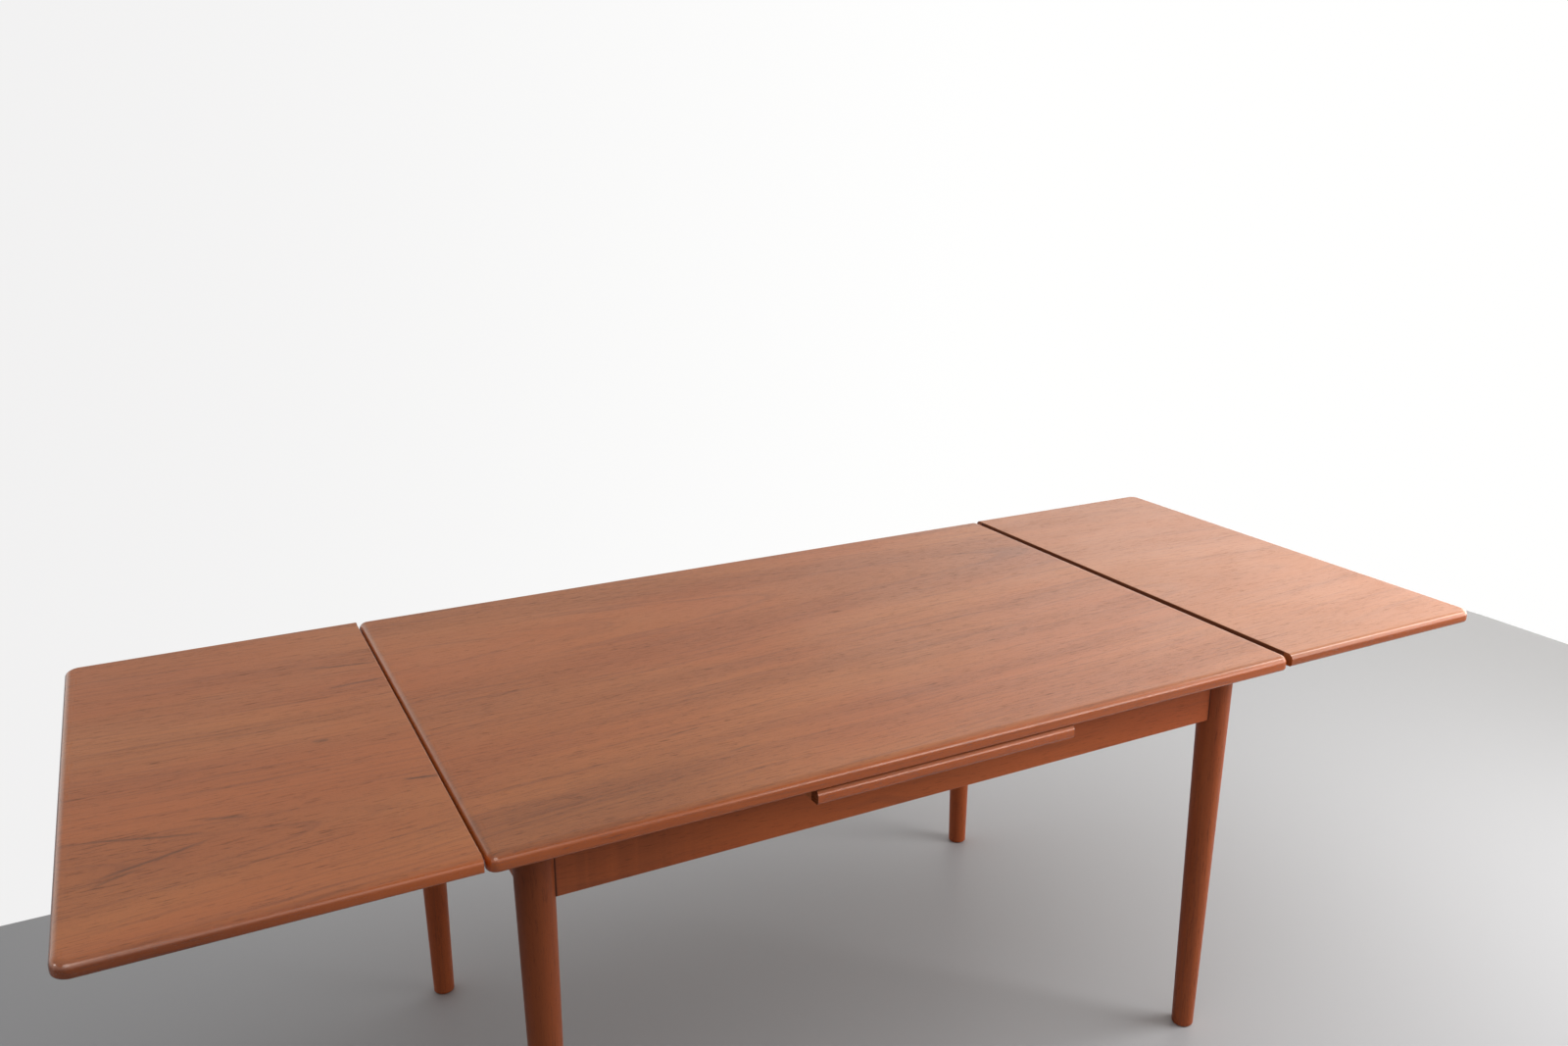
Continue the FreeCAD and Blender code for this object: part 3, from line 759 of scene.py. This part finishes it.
def lipping_mesh(name, stations, under, over, upper_round, lower_round, turn, origin):
    """Carries the profile along the stations, closes it over the inner line, and caps both ends.

    The shape is made as a front side, and the matrix turn and the origin bring it to its own side.
    """
    outer, outward, inner = stations
    profile, worn, rounded = bar_profile(under, over, upper_round, lower_round)
    ring = outer[:, None, :] - outward[:, None, :] * profile[:, 0][None, :, None]
    heights = np.broadcast_to(profile[:, 1][None, :, None], ring.shape[:2] + (1,))
    near_top, near_low = (ring[:, row] * (1 - support_share) + inner * support_share for row in (-1, 0))
    rows = [(near_top, over), (inner, over), (inner, under), (near_low, under)]
    extra = np.stack([np.column_stack([plan, np.full(len(plan), level)]) for plan, level in rows], 1)
    points = np.concatenate([np.concatenate([ring, heights], 2), extra], 1)
    points[..., :2] = points[..., :2] @ turn.T + origin
    mesh = tube_mesh(name, points)
    for label, mask, flat in (("worn", worn, [0, 0, 0, 0]), ("rounded", rounded, [0, 0, 1, 1])):
        values = np.tile(np.concatenate([mask, flat]), len(points)).astype(np.float32)
        mesh.attributes.new(label, "FLOAT", "POINT").data.foreach_set("value", values)
    return mesh


def outward_volume(mesh):
    """The volume inside the faces: it is negative when they point inwards."""
    mesh.calc_loop_triangles()
    places = np.empty(len(mesh.vertices) * 3)
    mesh.vertices.foreach_get("co", places)
    corners = np.empty(len(mesh.loop_triangles) * 3, int)
    mesh.loop_triangles.foreach_get("vertices", corners)
    a, b, c = places.reshape(-1, 3)[corners.reshape(-1, 3)].transpose(1, 0, 2)
    return float(np.einsum("ij,ij->i", a, np.cross(b, c)).sum() / 6)


def add_piece(name, mesh, body, material, stands_for):
    """Turns the faces outwards, shades them smooth between creases, and lets the piece ride on its body."""
    if outward_volume(mesh) < 0:
        mesh.flip_normals()
    mesh.shade_smooth()
    mesh.set_sharp_from_angle(angle=math.radians(crease_angle))
    mesh.materials.append(material)
    piece = new_object(name, mesh)
    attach(piece, body)
    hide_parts(stands_for)
    print(piece.name, "points", len(mesh.vertices))


print("lippings are carried along", straight_steps, "straight steps and", corner_steps, "corner steps")

# %% [markdown]
# ## The figure of each face
# Each veneered face comes from another part of the log. The main top has a broad figure with long arches
# and a stretch of painted shade at its front left. The left leaf has the grey-brown streaks, and the right
# one is calm.
# The figures are written down here, because the lippings need them too: on the real table no joint shows
# on the top, so the veneer's figure runs on over each lipping's flat until the round begins.

# %% Write down the figures
# Each streak: its centre, its turn in degrees, half its length, half its width, and its strength
leaf_streaks = (
    ((-1.025, -0.205, 0.0), -18.0, 0.092, 0.0030, 0.55),
    ((-1.012, -0.262, 0.0), 17.0, 0.080, 0.0034, 0.60),
    ((-1.060, -0.288, 0.0), 22.0, 0.035, 0.0040, 0.45),
    ((-0.935, -0.196, 0.0), -16.0, 0.035, 0.0045, 0.50),
    ((-0.692, -0.203, 0.0), -10.0, 0.030, 0.0035, 0.75),
    ((-0.715, 0.160, 0.0), 3.0, 0.055, 0.0035, 0.55),
    ((-0.725, 0.243, 0.0), -13.0, 0.070, 0.0028, 0.55),
    ((-0.795, -0.026, 0.0), -8.0, 0.016, 0.0050, 0.55),
)
# The first two marks are dark streaks in the wood; the third, very wide one is painted shade at the top's
# front left.
top_streaks_and_shade = (
    ((-0.330, -0.236, 0.0), 8.0, 0.040, 0.0022, 0.35),
    ((-0.268, -0.321, 0.0), 3.0, 0.030, 0.0025, 0.45),
    ((-0.560, -0.380, 0.0), 4.0, 0.340, 0.0750, 0.27),
)
face_figures = {
    "main_top": dict(log_place=(3.1, 0.0, 0.0), heart_side=0.22, heart_depth=-0.60, taper=0.05,
                     wander=0.012, band=0.50, streaks=top_streaks_and_shade),
    "left_leaf": dict(log_place=(0.0, 0.0, 0.0), heart_side=-0.26, heart_depth=-0.64, taper=0.06,
                      wander=0.012, band=0.38, streaks=leaf_streaks),
    "right_leaf": dict(log_place=(7.7, 0.4, 0.0), heart_side=0.30, heart_depth=-0.62, taper=0.05,
                       wander=0.012, flush=0.15, band=0.26, line=0.30, pore=0.42),
    "centre_board": dict(log_place=(11.3, 0.2, 0.0), heart_side=0.1, heart_depth=-0.60, brightness=0.9),
}
print("figures:", ", ".join(face_figures), "with", len(leaf_streaks) + len(top_streaks_and_shade), "streaks laid by hand")

# %% [markdown]
# ## The finish of a lipping
# The round is solid wood. Hands have polished it, so it is deeper in colour and glossier than the flat.
# So a lipping has two woods in one material, and its own mask says where the round begins.

# %% Finish a lipping
round_roughness = 0.16
bar_log_step = (1.7, 0.31, 0.13)
bar_figure = dict(heart_side=0.05, heart_depth=0.16, wander=0.006, band=0.55, line=0.35, pore=0.45)
worn_share, worn_gain = 0.12, 1.2
paler_gain = 1.5


def lipping_finish(name, board, side, seed, brightness=1.0, end_reach=None, paler=None):
    """Mix by the mask rounded: the face's own figure on the flat, and wood along the bar on the round.

    The bar's wood comes from a place in the log that no other lipping shares. End grain drinks more oil,
    and painted shade adds to it, so a bar that ends square at end_reach from the table's middle is dark
    there.
    Paler is a stretch along x, from low to high, over which painted light makes the wood paler up to a share.
    """
    material, bench, surface = new_material(name)
    place = bench.place()
    flat_color, _, _ = wood_color(bench, place, veneer_tone, along_x, **face_figures[board])
    bar_color, grained, vector = wood_color(
        bench, place, lipping_tone, along_x if side in ("front", "back") else along_y,
        tuple(seed * step for step in bar_log_step), brightness=brightness, **bar_figure)
    worn, rounded = (bench.add("Attribute", attribute_name=label).outputs["Fac"]
                     for label in ("worn", "rounded"))
    bar_color = bench.toward(bar_color, worn, worn_share, opaque(lipping_tone["pale"], worn_gain))
    # Painted light: a stretch of the bar is made paler along x.
    if paler is not None:
        low, high, share = paler
        stretch = bench.step(bench.axes(place)[0], low, high, 0.0, share)
        bar_color = bench.mix(stretch, bar_color, opaque(lipping_tone["pale"], paler_gain))
    color = bench.mix(rounded, flat_color, bar_color)
    # A square end is dark: end grain drinks more oil, and painted shade adds to it.
    if end_reach is not None:
        color = bench.mix(end_face(bench, place, end_reach), color, opaque(end_grain_and_shade_color))
    roughness = bench.step(rounded, 0.0, 1.0, flat_roughness, round_roughness)
    oiled_wood(bench, surface, color, grained, vector, roughness, polish=worn)
    return material


print("the round is polished to a roughness of", round_roughness)

# %% [markdown]
# ## Lippings of the top and the leaves
# The main top has four mitred lippings. Each leaf has three: front, back and outer end.
# Its front and back lippings end square at the inner side, where the leaf meets the main top.
# The sizes are read from the solids' boxes, so the lippings land exactly on their places.

# %% Make the lippings
top_round = (11 * MM, 5 * MM)
leaf_round = (10 * MM, 5 * MM)
top_corner = 15 * MM
leaf_corner = 22 * MM
# The leaves' lippings are darker than the top's: partly a darker tone of wood, partly painted shade.
leaf_edge_tone_and_shade = {"left": 0.66, "right": 0.76}
# Painted light: the left leaf's front lipping grows paler towards its inner end, where more light falls.
painted_light_stretches = {"left_leaf_lipping_front": (-1.06, -0.66, 0.50)}
side_turns = {"front": 0, "right": 1, "back": 2, "left": 3}
quarter_turn = np.array([[0, -1], [1, 0]])


def side_lipping(name, panel, side, node, body, rounds, corner_radius, mitred, material):
    """One lipping of a board: side says where it lies, and panel gives the inner line."""
    low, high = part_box(node)
    panel_low, panel_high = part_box(panel)
    turns = side_turns[side]
    along, across = turns % 2, 1 - turns % 2
    centre = np.array((panel_low + panel_high) / 2)[:2]
    half_inner = (panel_high[along] - panel_low[along]) / 2
    reach = abs((low if side in ("front", "left") else high)[across] - centre[across])
    stations = lipping_stations(half_inner, high[across] - low[across], corner_radius, mitred)
    turn = np.linalg.matrix_power(quarter_turn, turns)
    mesh = lipping_mesh(name, stations, low.z, high.z, *rounds, turn, centre + turn @ np.array([0.0, -reach]))
    add_piece(name, mesh, body, material, node)


for number, side in enumerate(("front", "back", "left", "right")):
    finish = lipping_finish(f"teak_top_edge_{side}", "main_top", side, 1.0 + number)
    side_lipping(f"main_top_edge_{side}", "main_top_panel", side, f"main_top_lipping_{side}", "top",
                 top_round, top_corner, (True, True), finish)

# A front bar runs from left to right and a back bar from right to left, and both are mitred at the outer end
for number, hand in enumerate(("left", "right")):
    at_left, at_right = hand == "left", hand == "right"
    sides = {"front": (at_left, at_right), "back": (at_right, at_left), hand: (True, True)}
    for step, (side, mitred) in enumerate(sides.items()):
        node = f"{hand}_leaf_lipping_{'end' if side == hand else side}"
        finish = lipping_finish(f"teak_{node}", f"{hand}_leaf", side, 6.0 + 3 * number + step,
                                leaf_edge_tone_and_shade[hand], paler=painted_light_stretches.get(node))
        side_lipping(f"{hand}_leaf_edge_{side}", f"{hand}_leaf_panel", side, node, f"{hand}_leaf",
                     leaf_round, leaf_corner, mitred, finish)

# %% [markdown]
# ## The centre board's edges
# The centre board stays on the frame and fills the space under the main top.
# Its front and back edges are rounded strips that lie flush with the top, and they end square.

# %% Make the centre board's edges
board_round = (9 * MM, 6 * MM)
# Painted light: the strips' wood is made brighter than the other lippings'.
strip_painted_light = 1.18
board_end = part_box("centre_board")[1].x
for number, side in enumerate(("front", "back")):
    finish = lipping_finish(f"teak_board_edge_{side}", "centre_board", side, 14.0 + number,
                            strip_painted_light, board_end)
    side_lipping(f"centre_board_strip_{side}", "centre_board", side, f"centre_board_edge_{side}", "frame",
                 board_round, 0.0, (False, False), finish)

# %% [markdown]
# ## The legs
# Each leg is turned on a lathe: round in section, and thinner towards the foot.
# So it is a surface of revolution. One function gives the radius at each height, and the points are that
# radius carried round the leg's axis.

# %% Make the legs
leg_top_radius = 27 * MM
leg_foot_radius = 18.75 * MM
foot_round = 4 * MM
head_arris = 1.5 * MM
leg_sides = 96
leg_rings = 60
leg_round_steps = 6
frame_specular = 0.15
leg_roughness = 0.38
leg_figure = dict(heart_side=0.06, heart_depth=0.09, taper=0.02, wander=0.008, band=0.6, line=0.4, pore=0.4)
leg_log_step = (0.37, 0.05, 0.08)
# Painted light and shade: each leg's brightness stands for the light it gets, so the front left leg is darker
# and the back legs lighter.
leg_painted_light = {"front_left": 0.74, "front_right": 1.12, "back_left": 1.32, "back_right": 1.30}


def turned_leg(name, node):
    """Radius falls evenly from head to foot, and quarter circles round both ends.

    Point = axis + radius times (cosine, sine) of the angle, at its height. Both ends close in flat discs.
    """
    low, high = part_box(node)
    centre = (low + high) / 2
    height = high.z
    angle = np.linspace(0, math.pi / 2, leg_round_steps + 1)
    straight = np.linspace(foot_round, height - head_arris, leg_rings)
    levels = np.concatenate([foot_round * (1 - np.cos(angle[:-1])), straight,
                             height - head_arris * (1 - np.sin(angle[1:]))])
    cut = np.concatenate([foot_round * (1 - np.sin(angle[:-1])), np.zeros(leg_rings),
                          head_arris * (1 - np.cos(angle[1:]))])
    radius = (leg_foot_radius + (leg_top_radius - leg_foot_radius) * levels / height - cut)[:, None]
    around = np.linspace(0, 2 * math.pi, leg_sides, endpoint=False)
    heights = np.broadcast_to(levels[:, None], (len(levels), leg_sides))
    return tube_mesh(name, np.stack([centre.x + radius * np.cos(around),
                                     centre.y + radius * np.sin(around), heights], -1))


for number, (place, brightness) in enumerate(leg_painted_light.items()):
    node = f"leg_{place}"
    log_place = tuple(number * step for step in leg_log_step)
    finish = teak(f"teak_leg_{place}", frame_tone, along_z, leg_roughness, frame_specular,
                  log_place=log_place, brightness=brightness, **leg_figure)
    add_piece(f"turned_{node}", turned_leg(f"turned_{node}", node), "frame", finish, node)

# %% [markdown]
# ## The veneered faces
# A veneered face is flat, so its solid stays as it is and only gets its finish.
# A leaf's inner edge rubs against the main top each time it slides, so its arris is worn to a pale line.
# The narrow face below that arris lies in the gap, so it is painted dark as painted shade.

# %% Finish the veneered faces
far_off = 3.0
arris_width = 0.0022
arris_rub = 0.55


def inner_arris(node, hand):
    """A box that touches the leaf only with its inner upper edge: its other sides are far off."""
    low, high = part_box(node)
    box_low = Vector((-far_off, -far_off, -far_off))
    box_high = Vector((far_off, far_off, high.z))
    if hand == "left":
        box_high.x = high.x
    else:
        box_low.x = low.x
    return box_low, box_high


def dress(node, material):
    """Puts a material on a solid from the frame, in place of any it came with."""
    solid = nodes[node]
    solid.data.materials.clear()
    solid.data.materials.append(material)


dress("main_top_panel", teak("teak_main_top", veneer_tone, along_x, **face_figures["main_top"]))
for hand in ("left", "right"):
    node = f"{hand}_leaf_panel"
    inner_reach = min(abs(corner.x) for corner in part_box(node))
    dress(node, teak(f"teak_{hand}_leaf", veneer_tone, along_x, edges=inner_arris(node, hand),
                     edge_width=arris_width, rub=arris_rub, gap_reach=inner_reach,
                     **face_figures[f"{hand}_leaf"]))
dress("centre_board", teak("teak_centre_board", veneer_tone, along_x, core_reach=board_end,
                           **face_figures["centre_board"]))
print("veneered faces finished")

# %% [markdown]
# ## Aprons
# The four aprons are solid teak boards on edge, deeper in colour than the top.
# Their solids keep their shape, and their sharp edges are rubbed a little paler.
# Where an apron meets a leg, a thin dark line of painted shade stands for the shade in the joint.
# A leg is round, so the joint lies where its circle meets the apron's face.

# %% Finish the aprons
apron_figure = dict(heart_side=0.1, heart_depth=-0.52, band=0.6, line=0.35, pore=0.4, brightness=1.42)
# Painted shade: a very wide dark streak makes the front apron darker towards its left end.
apron_painted_shade = {"front": (((-0.520, -0.4281, 0.0), 0.0, 0.240, 0.400, 0.30),)}


def joint_reach(leg_node, apron_node, axis):
    """Joint = leg's middle minus the root of (radius squared minus offset squared) along the apron.

    The offset is how far the apron's face lies from the leg's middle.
    """
    leg_low, leg_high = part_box(leg_node)
    apron_low, apron_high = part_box(apron_node)
    centre = (leg_low + leg_high) / 2
    across = 1 - axis
    face = max(abs(apron_low[across]), abs(apron_high[across]))
    offset = face - abs(centre[across])
    return abs(centre[axis]) - math.sqrt(leg_top_radius ** 2 - offset ** 2)


for number, side in enumerate(("front", "back", "left", "right")):
    node = f"{'long' if number < 2 else 'end'}_apron_{side}"
    axis = number // 2
    leg_node = f"leg_{side}_left" if number < 2 else f"leg_front_{side}"
    reach = joint_reach(leg_node, node, axis)
    dress(node, teak(f"teak_{node}", frame_tone, (along_x, along_y)[axis], specular=frame_specular,
                     edges=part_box(node), joint=(axis, reach), log_place=(1.9 + number, 0.2, 0.1 * number),
                     streaks=apron_painted_shade.get(side, ()), **apron_figure))
    print(node, "meets its legs at", round(reach, 4), "metres from the middle")

# %% [markdown]
# ## Beech inside
# The sliding arms, rails, blocks and pegs are pale beech, which is tough and cheap and is hidden from view.
# Beech has only faint bands. It has fine even fibres and countless short darker flecks.
# Each piece takes its figure from its own place in the log, given in metres.

# %% Make the beech material and use it
beech_pale = (0.560, 0.365, 0.205)
beech_deep = (0.430, 0.262, 0.138)
fleck_color = (0.300, 0.165, 0.085)
# Each mask, in the order of the teak's rows, and then its share and its colour
beech_layers = {
    "Bands": ((2.0, 45.0, 3.0, 0.60, 0.35, 0.70), 0.7, beech_deep),
    "Fibres": ((22.0, 700.0, 2.0, 0.50, 0.35, 0.70), 0.2, beech_deep),
    "Pores": ((260.0, 1500.0, 1.0, 0.50, 0.60, 0.70), 0.7, fleck_color),
}
beech_relief = 0.30
beech_edge_width = 0.002
beech_rub, beech_rub_gain = 0.35, 1.15
planed_roughness, slid_roughness = 0.55, 0.50


def beech(name, grain, log_place, roughness=planed_roughness, edges=None):
    """Pale wood with soft bands, fine fibres and short flecks along the grain."""
    material, bench, surface = new_material(name)
    place = bench.place()
    vector = bench.add("Mapping", {"Vector": place, "Rotation": grain, "Location": log_place}).outputs[0]
    color = opaque(beech_pale)
    masks = {}
    for key, (numbers, share, other) in beech_layers.items():
        masks[key] = bench.threads(vector, *numbers)
        color = bench.toward(color, masks[key], share, opaque(other))
    rubbed = 0.0
    if edges is not None:
        pale = opaque(beech_pale, beech_rub_gain)
        color, rubbed = rubbed_edges(bench, place, color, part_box(edges), beech_edge_width, beech_rub, pale)
    oiled_wood(bench, surface, color, masks, vector, roughness, rubbed, relief=beech_relief)
    return material


def dress_beech(node, name, grain, log_place, **more):
    """Finishes one of the hidden pieces in beech."""
    dress(node, beech(f"beech_{name}", grain, log_place, **more))


loper_places = [(hand, side) for hand in ("left", "right") for side in ("front", "back")]
for number, (hand, side) in enumerate(loper_places):
    node = f"{hand}_loper_{side}"
    dress(node, beech(f"beech_{node}", along_x, (0.9 * number, 0.1, 0.0), slid_roughness, node))
for number, hand in enumerate(("left", "right")):
    rail = f"cross_rail_{hand}"
    dress_beech(rail, rail, along_y, (5.0 + number, 0.0, 0.0), edges=rail)
    dress_beech(f"{hand}_loper_stop_pegs", f"{hand}_stop_pegs", along_y, (7.0 + number, 0.0, 0.0))
for number, side in enumerate(("front", "back")):
    dress_beech(f"guide_peg_{side}", f"guide_peg_{side}", along_z, (9.0 + number, 0.0, 0.0))
    for turn, hand in enumerate(("left", "right")):
        block = f"corner_block_{side}_{hand}"
        dress_beech(block, block, along_x, (11.0 + 2 * number + turn, 0.0, 0.0), edges=block)
print("beech pieces finished")

# %% [markdown]
# ## Screws
# The screws are zinc-plated steel. Their turned heads carry fine brush marks and small dull spots.

# %% Finish the screws
steel_bright = (0.60, 0.585, 0.555)
steel_dull = (0.42, 0.405, 0.38)
bright_roughness, dull_roughness = 0.28, 0.46
spot_factors = (900.0, 900.0, 900.0)
spot_fade = (0.35, 0.7)
scratch_factors = (300.0, 9000.0, 300.0)
scratch_relief, scratch_depth = 0.2, 0.00005


def steel(name):
    """Grey metal, mottled by noise, and duller where it is darker."""
    material, bench, surface = new_material(name)
    place = bench.place()
    spots = bench.step(bench.noise(place, spot_factors, detail=3.0, roughness=0.6), *spot_fade)
    color = bench.mix(spots, opaque(steel_bright), opaque(steel_dull))
    rough = bench.step(spots, 0.0, 1.0, bright_roughness, dull_roughness)
    bump = bench.add("Bump", {"Height": bench.noise(place, scratch_factors), "Strength": scratch_relief,
                              "Distance": scratch_depth})
    metal = bench.add("BsdfPrincipled", {"Base Color": color, "Roughness": rough, "Metallic": 1.0,
                                         "Normal": bump.outputs[0]})
    bench.feed(surface, metal.outputs[0])
    return material


screw_steel = steel("zinc_steel")
for node in ("board_screws", "corner_block_screws", "left_loper_screws", "right_loper_screws"):
    dress(node, screw_steel)
print("screws finished")
